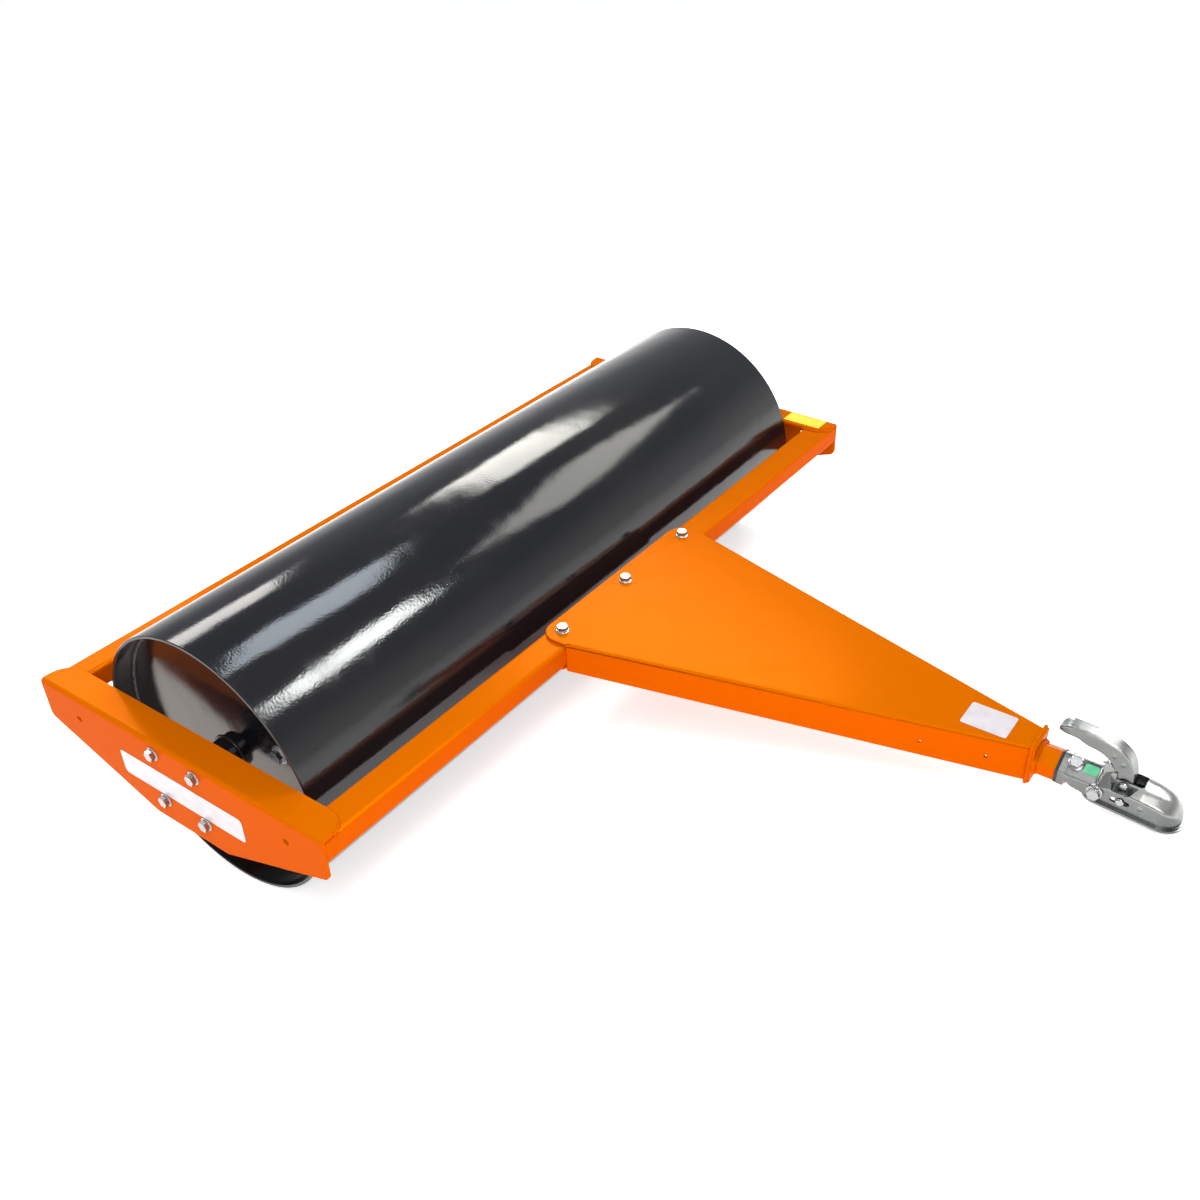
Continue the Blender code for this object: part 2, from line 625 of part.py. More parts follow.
def nose_outline(radius, centre, start, rear_corner, steps=16):
    """A plan outline with parallel sides and a round nose."""
    arc = [(radius * math.cos(a), centre - radius * math.sin(a)) for a in
           [math.pi * i / steps for i in range(steps + 1)]]
    rear = rounded([(radius, centre, 0), (-radius, centre, 0), (-radius, start, rear_corner),
                    (radius, start, rear_corner)], 6)[2:]
    return arc + rear


def coupling_body(parent):
    body = loft("coupling_body", coupling_shape(), parent, GALVANISED)
    slope = move(0, NOSE_Y, RIM_NOSE_Z) @ Matrix.Rotation(RIM_DROP, 4, "X") @ move(0, -NOSE_Y)
    rim = plate("rim", PLAN, 0, RIM, nose_outline(RIM_RADIUS, NOSE_CENTRE, RIM_START, 0.026, 24), parent=parent,
                cutter=True)
    rim.matrix_local = slope @ move(z=RIM / 2)
    step = plate("rim_step", PLAN, 0, 0.004, nose_outline(RIM_STEP, NOSE_CENTRE, RIM_START - 0.008, 0.020, 24),
                 parent=parent, cutter=True)
    step.matrix_local = slope @ move(z=RIM)
    neck = plate("neck", SECTION, -sum(NECK) / 2, NECK[0] - NECK[1], hexagon(NECK_GROWTH), parent=parent,
                 cutter=True)
    pad = hole("side_pad", (1, 0, 0), (0, *SIDE_BOLT), 0.0134, 2 * SIDE_PAD, parent, 32)
    lug = plate("pivot_lug", SIDE, 0, 2 * LUG_HALF - 0.0006, rounded(
        [(PIVOT[0] - LUG_RADIUS, PIVOT[1] + LUG_RADIUS, 0.008), (PIVOT[0] + LUG_RADIUS, PIVOT[1] + LUG_RADIUS, 0.008),
         (PIVOT[0] + 0.014, PIVOT[1] - 0.012, 0), (PIVOT[0] - 0.014, PIVOT[1] - 0.012, 0)], 6), parent=parent,
        cutter=True)
    combine(body, "DIFFERENCE", *pivot_seats(parent))
    combine(body, "UNION", rim, step, neck, pad, lug, slot_lip(parent), wall_dimple(parent))
    combine(body, "DIFFERENCE", *coupling_cutters(parent))


def pivot_seats(parent):
    """The two flat recesses in the roof beside the lever, for the heads of its pin."""
    outline = rounded([(-1.2370, TOP + 0.03, 0), (-1.2606, TOP - 0.0232, 0.003), (-1.2860, TOP - 0.0238, 0.009),
                       (-1.3010, TOP - 0.0060, 0), (-1.3030, TOP + 0.03, 0)], 6)
    return [plate(f"pivot_seat_{side}", SIDE, side * (LUG_HALF + 0.015), 0.030, outline, parent=parent,
                  cutter=True)
            for side in (-1, 1)]


def rod(name, points, radius, parent):
    """A round rod through points, as a solid to join."""
    curve = bpy.data.curves.new(name, "CURVE")
    curve.dimensions = "3D"
    curve.bevel_depth = radius
    curve.bevel_resolution = 2
    curve.use_fill_caps = True
    spline = curve.splines.new("POLY")
    spline.points.add(len(points) - 1)
    for point, place in zip(spline.points, points):
        point.co = (*place, 1)
    rough = link(bpy.data.objects.new(name, curve))
    made = link(bpy.data.objects.new(name, frozen(rough)), cutter=True)
    return put(made, parent, Matrix())


def slot_lip(parent):
    """The turned-up edge around the front of the lever's slot."""
    points = []
    for i in range(13):
        a = math.radians(-20 + 220 * i / 12)
        x = 0.0172 * math.cos(a)
        y = LIP_Y + 0.0045 - 0.0070 * math.sin(a)
        points.append((x, y, TOP - 0.0058 - 0.0105 * (x / 0.0172) ** 4 + min(0, 0.6 * (y - LIP_Y - 0.006))))
    return rod("slot_lip", points, 0.0021, parent)


def dimple(name, place, radius, height, parent):
    """A low dome pressed out of a wall; local Z is outward."""
    profile = [(0, height), (radius * 0.45, height * 0.85), (radius * 0.8, height * 0.45), (radius, 0),
               (radius, -0.0008), (0, -0.0008)]
    return turned(name, profile, place, parent, steps=16, cutter=True)


def wall_dimple(parent):
    return dimple("wall_dimple", along((-1, 0, 0), (-BODY_HALF, -1.3075, TOP - 0.0364)), 0.0045, 0.0015, parent)


def coupling_cutters(parent):
    """The hollows of the coupling body and its holes."""
    middle, length = -(NECK[0] + TUBE_END) / 2, NECK[0] - TUBE_END
    bore = plate("tube_bore", SECTION, middle, length + 0.0012, hexagon(GAP), parent=parent, cutter=True)
    low = TOP - 0.110
    under = plate("under_tube", PLAN, (low + TUBE_Z - 0.002) / 2, TUBE_Z - 0.002 - low,
                  box_outline(-TUBE_HALF - GAP, TUBE_HALF + GAP, TUBE_END - 0.0006, TONGUE_START + GAP, 0.002, 3),
                  parent=parent, cutter=True)
    jaw_space = plate("jaw_space", PLAN, (CAVITY_TOP + low) / 2, CAVITY_TOP - low,
                      box_outline(-CAVITY_HALF, CAVITY_HALF, BALL_Y + 0.006, TUBE_END - 0.0045, 0.003, 3),
                      parent=parent, cutter=True)
    wall = BALL_Z + 0.006
    nose_space = plate("nose_space", PLAN, (wall + low) / 2, wall - low,
                       nose_outline(CAVITY_HALF, BALL_Y, TUBE_END - 0.0050, 0.003), parent=parent, cutter=True)
    profile = [(0, SOCKET_TOP - BALL_Z)]
    start = math.acos((SOCKET_TOP - BALL_Z) / BALL_SPACE)
    for i in range(7):
        a = start + (math.radians(88) - start) * i / 6
        profile.append((BALL_SPACE * math.sin(a), BALL_SPACE * math.cos(a)))
    profile.append((0, profile[-1][1]))
    dome = turned("ball_dome", profile, move(0, BALL_Y, BALL_Z), parent, steps=32, cutter=True)
    half = LEVER_SLOT_HALF
    slot_outline = rounded([(half, STEP_Y, 0), (-half, STEP_Y, 0), (-half, LIP_Y, 0.006), (half, LIP_Y, 0.006)])
    slot = plate("lever_slot", PLAN, TOP, 0.060, slot_outline, parent=parent, cutter=True)
    notch = plate("lever_notch", PLAN, TOP + 0.0105, 0.040, box_outline(-half, half, STEP_Y - 0.001, -1.2320, 0.004),
                  parent=parent, cutter=True)
    pin_slot = plate("pin_slot", SIDE, 0, 0.1, stadium(CLAMP_PIN[0] - 0.0100, CLAMP_PIN[0] + 0.0115, CLAMP_PIN[1],
                                                       PIVOT_RADIUS + 0.0006), parent=parent, cutter=True)
    pivot = hole("pivot_hole", (1, 0, 0), (0, *PIVOT), PIVOT_RADIUS + GAP, 0.1, parent)
    return (bore, under, jaw_space, nose_space, dome, slot, notch, pin_slot, pivot,
            *coupling_bolt_holes("body", parent))


def flowing(points, steps=2):
    """A smooth open curve through points (Catmull-Rom)."""
    ends = [points[0], *points, points[-1]]
    made = []
    for before, one, two, after in zip(ends, ends[1:], ends[2:], ends[3:]):
        for i in range(steps):
            t = i / steps
            made.append(tuple(0.5 * (2 * q + (r - p) * t + (2 * p - 5 * q + 4 * r - u) * t ** 2
                                     + (3 * q - p - 3 * r + u) * t ** 3) for p, q, r, u in
                              zip(before, one, two, after)))
    return made + [points[-1]]


def lever_section(crest_y, crest_z, foot_y, foot_z, half):
    """The lever's channel between its crest and its foot, with a grooved top."""
    down = Vector((foot_y - crest_y, foot_z - crest_z))
    depth = down.length
    down.normalize()
    bend = min(0.0042, 0.45 * depth)
    inside = half - LEVER_WALL
    outer = [(-half, depth), *corner_arc((-half, depth), (-half, 0), (half, 0), bend, 5)]
    ridges = 9
    for i in range(1, ridges):
        x = (half - bend) * (2 * i / ridges - 1)
        outer.append((x, 0.0006 * (i % 2)))
    outer += [*corner_arc((-half, 0), (half, 0), (half, depth), bend, 5), (half, depth)]
    roof = min(LEVER_WALL, 0.6 * depth)
    inner = [(inside, depth), (inside, roof + 0.001), (inside - 0.001, roof), (0.001 - inside, roof),
             (-inside, roof + 0.001), (-inside, depth)]
    return [(x, crest_y + down.x * d, crest_z + down.y * d) for x, d in outer + inner]


def lever(parent):
    """The locking lever: a channel that opens downwards, drawn from its pivot."""
    handle = empty("lever_pivot", parent)
    handle.matrix_local = move(0, *PIVOT)
    # crest, foot and half width, from the free end to the pivot
    stations = [(0.1160, 0.0585, 0.1140, 0.0546, 0.0092), (0.1128, 0.0642, 0.1060, 0.0540, 0.0124),
                (0.1050, 0.0690, 0.0950, 0.0542, LEVER_HALF), (0.0960, 0.0712, 0.0840, 0.0535, LEVER_HALF),
                (0.0720, 0.0702, 0.0680, 0.0470, LEVER_HALF), (0.0500, 0.0680, 0.0500, 0.0443, LEVER_HALF),
                (0.0270, 0.0635, 0.0370, 0.0390, LEVER_HALF), (0.0105, 0.0560, 0.0260, 0.0310, LEVER_HALF),
                (-0.0015, 0.0440, 0.0185, 0.0200, LEVER_HALF), (-0.0085, 0.0290, 0.0173, 0.0080, LEVER_HALF),
                (-0.0125, 0.0110, 0.0165, -0.0030, LEVER_HALF), (-0.0138, 0.0010, 0.0100, -0.0090, LEVER_HALF),
                (-0.0135, -0.0045, 0.0, -0.0105, LEVER_HALF)]
    made = loft("lever", [lever_section(*station) for station in flowing(stations)], handle, GALVANISED)
    for i, (y, z) in enumerate(LEVER_DIMPLES):
        place = along((-1, 0, 0), (-LEVER_HALF, y, z))
        combine(made, "UNION", dimple(f"lever_dimple_{i}", place, 0.0036, 0.0012, handle))
    combine(made, "DIFFERENCE", hole("lever_hole", (1, 0, 0), (0, 0, 0), PIVOT_RADIUS + GAP, 0.1, handle))


def pin(name, seat, shank, head, thick, place, parent, look):
    """A headed pin along X, the same at both ends."""
    profile = [(0, seat + thick), (head * 0.7, seat + thick), (head, seat + thick * 0.5), (head, seat),
               (shank, seat), (shank, -seat), (head, -seat), (head, -seat - thick * 0.5), (head * 0.7, -seat - thick),
               (0, -seat - thick)]
    turned(name, profile, place @ across(0), parent, look, 24)


def ball_clamp(parent):
    """The jaw that holds the ball, and the pin that guides it in the body's slots."""
    slide = empty("clamp_slide", parent)
    slide.matrix_local = move(0, *CLAMP_PIN)
    outline = box_outline(-CLAMP_HALF, CLAMP_HALF, BALL_Y - CLAMP_PIN[0] + 0.006, 0.0100, 0.004, 3)
    jaw = plate("ball_clamp", PLAN, -0.0035, 0.0195, outline, parent=slide, look=STEEL)
    ball = turned("ball_space", [(0, 0.02), (0.0257, 0.02), (0.0257, -0.02), (0, -0.02)],
                  move(0, BALL_Y - CLAMP_PIN[0], 0), slide, steps=48, cutter=True)
    combine(jaw, "DIFFERENCE", ball, hole("clamp_hole", (1, 0, 0), (0, 0, 0), PIVOT_RADIUS + GAP, 0.1, slide))
    pin("clamp_pin", NOSE_RADIUS + 0.0008, PIVOT_RADIUS, 0.0068, 0.0030, Matrix(), slide, ZINC)


def coupling_fasteners(parent):
    """The two bolts that hold the coupling on the hitch tube. The roof bolt's nut is welded inside the tube."""
    nut = nut_mesh("coupling_nut")
    out, middle = roof_normal(), Vector((0, ROOF_BOLT[1], TUBE_Z))
    face = on_roof(*ROOF_BOLT, 0.0006)
    inner = (TUBE_HIGH * math.cos(ROOF_SLOPE) - TUBE_WALL - WELD_SPACER) - (face - middle).dot(out)
    roof = screw_mesh("roof_bolt", NUT + 0.002 - inner)
    fastener("coupling_bolt_1", roof, along(out, face), parent)
    fastener("coupling_nut_1", nut, along(-out, face + out * inner), parent)
    side = screw_mesh("side_bolt", 2 * (SIDE_PAD + GAP) + NUT + 0.003)
    fastener("coupling_bolt_2", side, along((-1, 0, 0), (-SIDE_PAD - GAP, *SIDE_BOLT)), parent)
    fastener("coupling_nut_2", nut, along((1, 0, 0), (SIDE_PAD + GAP, *SIDE_BOLT)), parent)


def labels(parent):
    """Plain blank label plates."""
    thick = 0.0005
    away = GAP + thick / 2
    plate("side_label", SIDE, -HALF_WIDTH - away, thick, box_outline(-0.152, 0.152, -0.0375, 0.0125, 0.008),
          parent=parent, look=WHITE)
    plate("drawbar_label", PLAN, TOP + away, thick, box_outline(-0.034, 0.026, -1.087, -1.008, 0.004, 3),
          parent=parent, look=WHITE)
    plate("frame_label", PLAN, TOP + away, thick, box_outline(0.765, 0.8055, -0.322, -0.230, 0.002, 3),
          parent=parent, look=YELLOW)
    green = plate("coupling_label", PLAN, 0, thick, box_outline(-0.0085, 0.0085, -0.0112, 0.0112, 0.003, 3),
                  parent=parent, look=GREEN)
    green.matrix_local = Matrix.Translation(on_roof(*ROOF_LABEL, away)) @ Matrix.Rotation(-ROOF_SLOPE, 4, "Y")


def build():
    stand = empty("drum_axle")
    stand.matrix_local = move(y=AXLE_Y, z=AXLE_HEIGHT)
    frame = empty("frame_level", stand)
    frame.matrix_local = Matrix.Rotation(TILT, 4, "X")
    drum_shell(stand)
    filler_plug(stand)
    thickness = PLATE + BEARING_FLANGE + 3 * GAP
    bolt = screw_mesh("short_bolt", thickness + NUT + 0.002)
    nut = nut_mesh("short_nut")
    for side, name in ((-1, "left"), (1, "right")):
        drum_end(side, name, stand)
        bearing(side, name, frame, stand)
        side_frame(side, name, frame)
        bearing_fasteners(side, name, bolt, nut, frame)
    front = beam("front_beam", FRONT, FRONT + FRONT_BEAM, frame)
    for i, x in enumerate(drawbar_bolts()):
        bolt_hole = hole(f"beam_hole_{i}", (0, 0, 1), (x, beam_middle(), TOP), BOLT_HOLE, 0.2, frame)
        combine(front, "DIFFERENCE", bolt_hole)
    beam("rear_beam", REAR - REAR_BEAM, REAR, frame)
    drawbar_top(frame)
    drawbar_wall(-1, "left", frame)
    drawbar_wall(1, "right", frame)
    drawbar_fixing(frame)
    hitch_tube(frame)
    coupling_body(frame)
    lever(frame)
    pin("lever_pivot_pin", LUG_HALF + GAP, PIVOT_RADIUS, 0.0070, 0.0045, move(0, *PIVOT), frame, ZINC)
    ball_clamp(frame)
    coupling_fasteners(frame)
    labels(frame)


for old in list(bpy.data.objects):
    bpy.data.objects.remove(old)
PARTS = collection("lawn_roller")
CUTTERS = collection("cutters")
ORANGE = material("orange_powder_coat", (0.90, 0.19, 0.005), 0.3, 0.0)
BLACK = material("gloss_black_paint", (0.012, 0.012, 0.014), 0.12, 0.0)
CAST = material("bearing_housing_paint", (0.02, 0.02, 0.02), 0.5, 0.3)
STEEL = material("bright_steel", (0.55, 0.55, 0.55), 0.25, 1.0)
ZINC = material("zinc_plate", (0.68, 0.68, 0.66), 0.3, 1.0)
GALVANISED = material("galvanised_steel", (0.62, 0.63, 0.62), 0.35, 1.0)
RUBBER = material("black_rubber", (0.02, 0.02, 0.02), 0.7, 0.0)
WHITE = material("white_label", (0.8, 0.8, 0.8), 0.4, 0.0)
YELLOW = material("yellow_label", (0.9, 0.8, 0.02), 0.4, 0.0)
GREEN = material("green_label", (0.05, 0.45, 0.18), 0.4, 0.0)
build()
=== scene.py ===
"""The looks of a towed lawn roller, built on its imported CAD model. Metres, +Z up, +X along the axle.

Many places are in the level frame: X along the axle, Y to the rear and Z square to the drawbar's top,
all from the middle of the axle. The roller stands unhitched, so this frame leans forward by about 11
degrees.
"""
import json
import math

import bmesh
import bpy
from mathutils import Matrix, Vector, noise


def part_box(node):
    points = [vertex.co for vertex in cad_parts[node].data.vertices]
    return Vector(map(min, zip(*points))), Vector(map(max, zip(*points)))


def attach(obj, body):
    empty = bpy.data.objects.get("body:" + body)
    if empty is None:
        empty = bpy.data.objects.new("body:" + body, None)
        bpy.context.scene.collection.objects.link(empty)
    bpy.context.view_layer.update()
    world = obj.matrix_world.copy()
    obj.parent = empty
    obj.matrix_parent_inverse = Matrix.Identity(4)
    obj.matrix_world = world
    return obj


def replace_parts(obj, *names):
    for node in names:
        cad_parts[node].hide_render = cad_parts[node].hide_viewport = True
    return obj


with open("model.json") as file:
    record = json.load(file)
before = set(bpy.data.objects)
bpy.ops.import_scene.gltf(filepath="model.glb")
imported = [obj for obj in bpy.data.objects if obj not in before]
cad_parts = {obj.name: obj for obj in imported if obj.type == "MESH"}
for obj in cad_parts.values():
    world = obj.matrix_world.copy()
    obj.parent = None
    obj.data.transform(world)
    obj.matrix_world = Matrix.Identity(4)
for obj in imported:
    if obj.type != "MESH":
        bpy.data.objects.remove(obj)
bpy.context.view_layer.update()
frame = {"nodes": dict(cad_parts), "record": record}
NODES = frame["nodes"]

JOINTS = {joint["name"]: joint for joint in frame["record"]["behaviour"]["joints"]}
AXLE = Vector(JOINTS["drum_spin"]["pos_m"])
SLIDE = Vector(JOINTS["clamp_slide"]["axis"])
LEVEL = Matrix.Translation(AXLE) @ Matrix.Rotation(math.atan2(SLIDE.z, SLIDE.y), 4, "X")

# Camera, in the level frame
CAMERA_AT = (-1.6068, -1.4844, 1.4063)
CAMERA_AZIMUTH = -54.739          # degrees from +Y, towards -X when positive
CAMERA_ELEVATION = -34.757
CAMERA_ROLL = -0.782
CAMERA_LENS = 37.44
CAMERA_SHIFT = -0.0333

# Studio panels, in the level frame: middle, width, height, degrees of roll, brightness, colour
PANELS = {
    "panel_left_high": ((1.00, 0.45, 3.65), 1.1, 1.1, 0, 9.0, (0.82, 0.91, 1.0)),
    "panel_left_low": ((0.98, -2.15, 3.05), 1.1, 0.7, 0, 28.0, (0.97, 1.0, 0.98)),
    "panel_window_rear": ((5.40, 3.33, 5.16), 3.2, 1.5, -20, 12.0, (1.0, 0.99, 0.92)),
    "panel_window_front": ((5.73, -2.07, 5.60), 3.0, 1.9, 6, 5.6, (1.0, 0.99, 0.92)),
    "panel_rear": ((0.60, 3.15, 2.40), 1.3, 0.9, 0, 9.0, (1.0, 0.97, 0.93)),
    "panel_front": ((-3.00, -2.60, 3.40), 2.2, 2.2, 0, 5.5, (1.0, 1.0, 1.0)),
    "panel_over_coupling": ((-0.60, -0.80, 3.90), 1.6, 1.6, 0, 0.9, (1.0, 1.0, 0.97)),
    "panel_over_left": ((-1.60, -0.30, 3.50), 1.8, 1.8, 0, 9.0, (1.0, 1.0, 1.0)),
}
# The fill panel doesn't show in the gloss, and the gleam panel shows nowhere else
FILL_PANEL = "panel_over_left"
GLEAM_PANEL = "panel_left_low"

# The sky's colour at heights from the horizon, 0, to straight up, 1
SKY = ((0.0, (1.05, 1.05, 1.05)), (0.12, (0.86, 0.86, 0.86)), (0.35, (0.42, 0.43, 0.46)),
       (0.75, (0.34, 0.35, 0.38)))
FLOOR_SIZE = 400
FLOOR_COLOUR = (0.93, 0.93, 0.925, 1)
FLOOR_GLOW = 0.62

# Corners of a CAD node that are nearer than this are one corner
SAME_PLACE = 0.000002
FLAT = math.radians(1)
# Rounding of a CAD node's sharp edges, which are those that turn by more than this many degrees
SHARP = 24
EDGE = 0.0008
EDGES = {"side_frame_left": 0.0014, "side_frame_right": 0.0014, "side_label": 0.0001,
         "drawbar_label": 0.0001, "frame_label": 0.0001, "coupling_label": 0.0001}
# These are rounded in the CAD already, and only shaded with creases
FREE_FORM = ("coupling_body", "lever")
CREASE = math.radians(40)

DRUM_SIDES = 256
SHELL = 0.006
SHELL_LIP = 0.0016
# The corners within WALL_TOP of a drawbar wall's highest one move up by SHEET_LAP, into the drawbar's top
SHEET_LAP = 0.0015
WALL_TOP = 0.0002
SHEET_EDGE = 0.0012
# The six-sided hitch tube: middle to a side, to the top edge and to a side's upper end
TUBE_HALF = 0.0287
TUBE_HIGH = 0.0280
TUBE_SHOULDER = 0.0114
# The side frame's rounded corner, and the axle boss on the drum's end plate
FRAME_CORNER = 0.042
BOSS = 0.034

# Radii of the weld beads, and the steps and ripples along them
RIM_BEAD = 0.0048
BOSS_BEAD = 0.0032
BEAM_BEAD = 0.0030
PLATE_BEAD = 0.0031
TUBE_BEAD = 0.0042
BEAD_SIDES = 8
DRUM_STEP = 0.0014
FRAME_STEP = 0.0010
DRUM_RIPPLE = 0.0035
FRAME_RIPPLE = 0.0032
# Height of the ripples, as a share of the radius, and the scale of the lumps
RIPPLE_SHARE = 0.14
LUMPS = 90
# How far a bead's middle lies off the face or edge that it runs along
RIM_OFFSET = 0.0010
BEAM_OFFSET = 0.0012
PLATE_OFFSET = 0.0006
TUBE_OFFSET = 0.0008
# The bead round the drawbar's end plate runs at these shares of the plate's width and height
PLATE_INSET = (0.975, 0.965)
# The outward side leans to the rear on that bead, and to the front on the hitch tube's
PLATE_LEAN = 0.01
TUBE_LEAN = 0.02
# The beads on the beams start this many degrees round the side frame's corner
CORNER_START = 12
CORNER_STEPS = 14


def fill_ramp(node, stops):
    """Sets a colour ramp's stops, each a position and a colour or a grey."""
    elements = node.color_ramp.elements
    while len(elements) < len(stops):
        elements.new(0.5)
    for element, (position, colour) in zip(elements, stops):
        element.position = position
        element.color = (*colour, 1) if isinstance(colour, tuple) else (colour, colour, colour, 1)


def round_edges(made, width, degrees):
    """Rounds the edges that are sharper than the angle."""
    edges = made.modifiers.new("edges", "BEVEL")
    edges.width = width
    edges.segments = 2
    edges.limit_method = "ANGLE"
    edges.angle_limit = math.radians(degrees)
    return edges


def level_box(name):
    """A node's lowest and highest corners in the level frame."""
    back = LEVEL.inverted()
    points = [back @ vertex.co for vertex in NODES[name].data.vertices]
    return (Vector([min(point[k] for point in points) for k in range(3)]),
            Vector([max(point[k] for point in points) for k in range(3)]))


# ---------------------------------------------------------------- camera, light and floor

def camera():
    data = bpy.data.cameras.new("camera")
    data.lens = CAMERA_LENS
    data.shift_x = CAMERA_SHIFT
    made = bpy.data.objects.new("camera", data)
    bpy.context.scene.collection.objects.link(made)
    turn = (Matrix.Rotation(math.radians(CAMERA_AZIMUTH), 4, "Z")
            @ Matrix.Rotation(math.radians(90 + CAMERA_ELEVATION), 4, "X")
            @ Matrix.Rotation(math.radians(CAMERA_ROLL), 4, "Z"))
    made.matrix_world = LEVEL @ Matrix.Translation(CAMERA_AT) @ turn
    bpy.context.scene.camera = made


def panel(name, at, width, height, roll, brightness, colour):
    """A soft light panel that faces the roller."""
    data = bpy.data.lights.new(name, "AREA")
    data.shape = "RECTANGLE"
    data.size = width
    data.size_y = height
    data.energy = brightness * math.pi * width * height
    data.color = colour
    made = bpy.data.objects.new(name, data)
    bpy.context.scene.collection.objects.link(made)
    place = LEVEL @ Vector(at)
    turn = (AXLE - place).to_track_quat("-Z", "Y").to_matrix().to_4x4()
    turn = turn @ Matrix.Rotation(math.radians(roll), 4, "Z")
    made.matrix_world = Matrix.Translation(place) @ turn
    made.visible_camera = False
    made.visible_glossy = name != FILL_PANEL
    made.visible_diffuse = name != GLEAM_PANEL


def studio():
    """The sky, the light panels and the pale floor."""
    scene = bpy.context.scene
    scene.view_settings.view_transform = "Standard"
    world = bpy.data.worlds.new("studio")
    world.use_nodes = True
    tree = world.node_tree
    background = tree.nodes["Background"]
    place = tree.nodes.new("ShaderNodeTexCoord")
    split = tree.nodes.new("ShaderNodeSeparateXYZ")
    ramp = tree.nodes.new("ShaderNodeValToRGB")
    fill_ramp(ramp, SKY)
    tree.links.new(place.outputs["Generated"], split.inputs["Vector"])
    tree.links.new(split.outputs["Z"], ramp.inputs["Fac"])
    tree.links.new(ramp.outputs["Color"], background.inputs["Color"])
    background.inputs["Strength"].default_value = 1.0
    scene.world = world
    for name, values in PANELS.items():
        panel(name, *values)
    bpy.ops.mesh.primitive_plane_add(size=FLOOR_SIZE)
    floor = bpy.context.object
    floor.name = "floor"
    look = bpy.data.materials.new("floor")
    look.use_nodes = True
    shader = look.node_tree.nodes["Principled BSDF"]
    shader.inputs["Base Color"].default_value = FLOOR_COLOUR
    shader.inputs["Roughness"].default_value = 0.8
    shader.inputs["Specular IOR Level"].default_value = 0.1
    shader.inputs["Emission Color"].default_value = (1, 1, 1, 1)
    shader.inputs["Emission Strength"].default_value = FLOOR_GLOW
    floor.data.materials.append(look)


# ---------------------------------------------------------------- materials

class Look:
    """A Principled material with procedural colour, roughness and relief in the piece's own metres."""

    def __init__(self, name, roughness, metallic=0.0, **sockets):
        self.material = bpy.data.materials.new(name)
        self.material.use_nodes = True
        self.tree = self.material.node_tree
        self.shader = self.tree.nodes["Principled BSDF"]
        self.shader.inputs["Roughness"].default_value = roughness
        self.shader.inputs["Metallic"].default_value = metallic
        for socket, value in sockets.items():
            self.shader.inputs[socket.replace("_", " ")].default_value = value
        places = self.tree.nodes.new("ShaderNodeTexCoord")
        self.place = places.outputs["Object"]
        split = self.tree.nodes.new("ShaderNodeSeparateXYZ")
        self.tree.links.new(places.outputs["Normal"], split.inputs["Vector"])
        self.upward = split.outputs["Z"]
        self.height = None

    def noise(self, scale, detail=3.0, roughness=0.5):
        node = self.tree.nodes.new("ShaderNodeTexNoise")
        node.inputs["Scale"].default_value = scale
        node.inputs["Detail"].default_value = detail
        node.inputs["Roughness"].default_value = roughness
        self.tree.links.new(self.place, node.inputs["Vector"])
        return node.outputs["Fac"]

    def painted_light_by_facing(self, scale, share=0.25):
        """How far the surface faces up, stirred with some noise: the mask for painted light on tops and
        painted shade on sides.
        """
        stir = self.tree.nodes.new("ShaderNodeMath")
        stir.operation = "MULTIPLY_ADD"
        stir.inputs[1].default_value = share
        self.tree.links.new(self.noise(scale, 4.0), stir.inputs[0])
        self.tree.links.new(self.upward, stir.inputs[2])
        return stir.outputs[0]

    def ramp(self, value, *stops):
        node = self.tree.nodes.new("ShaderNodeValToRGB")
        fill_ramp(node, stops)
        self.tree.links.new(value, node.inputs["Fac"])
        return node.outputs["Color"]

    def colour(self, value, *stops):
        self.tree.links.new(self.ramp(value, *stops), self.shader.inputs["Base Color"])

    def rough(self, value, *stops):
        self.tree.links.new(self.ramp(value, *stops), self.shader.inputs["Roughness"])

    def relief(self, value, depth, strength=1.0):
        """Adds one layer of bump, as deep as given in metres."""
        node = self.tree.nodes.new("ShaderNodeBump")
        node.inputs["Strength"].default_value = strength
        node.inputs["Distance"].default_value = depth
        self.tree.links.new(value, node.inputs["Height"])
        if self.height:
            self.tree.links.new(self.height, node.inputs["Normal"])
        self.height = node.outputs["Normal"]
        self.tree.links.new(self.height, self.shader.inputs["Normal"])


def powder_coat():
    look = Look("orange_powder_coat", 0.18, 0.08, Specular_IOR_Level=0.006,
                Specular_Tint=(1.0, 0.42, 0.04, 1))
    # Painted light and shade: the orange turns more yellow on faces that look up and redder on the sides.
    look.colour(look.painted_light_by_facing(6.0, 0.12), (0.15, (0.56, 0.083, 0.0)), (0.85, (0.50, 0.105, 0.0)))
    look.rough(look.noise(35.0), (0.3, 0.14), (0.7, 0.22))
    look.relief(look.noise(420.0, 2.0), 0.00005)
    look.relief(look.noise(30.0, 1.0), 0.0004, 0.5)
    return look.material


def gloss_black(name, tint):
    look = Look(name, 0.09, Specular_IOR_Level=0.45, Specular_Tint=tint)
    look.colour(look.noise(3.0), (0.35, (0.0050, 0.0055, 0.0075)), (0.65, (0.0085, 0.0085, 0.0090)))
    look.rough(look.noise(9.0, 6.0, 0.7), (0.35, 0.07), (0.60, 0.11), (0.72, 0.20))
    look.relief(look.noise(240.0, 2.0), 0.00014)
    look.relief(look.noise(14.0, 1.0), 0.0012, 0.5)
    return look.material


def rough_black():
    """The same paint over weld metal."""
    look = Look("black_paint_on_weld", 0.2)
    look.colour(look.noise(60.0), (0.3, (0.006, 0.006, 0.007)), (0.7, (0.014, 0.013, 0.012)))
    look.relief(look.noise(350.0, 4.0), 0.0008)
    return look.material


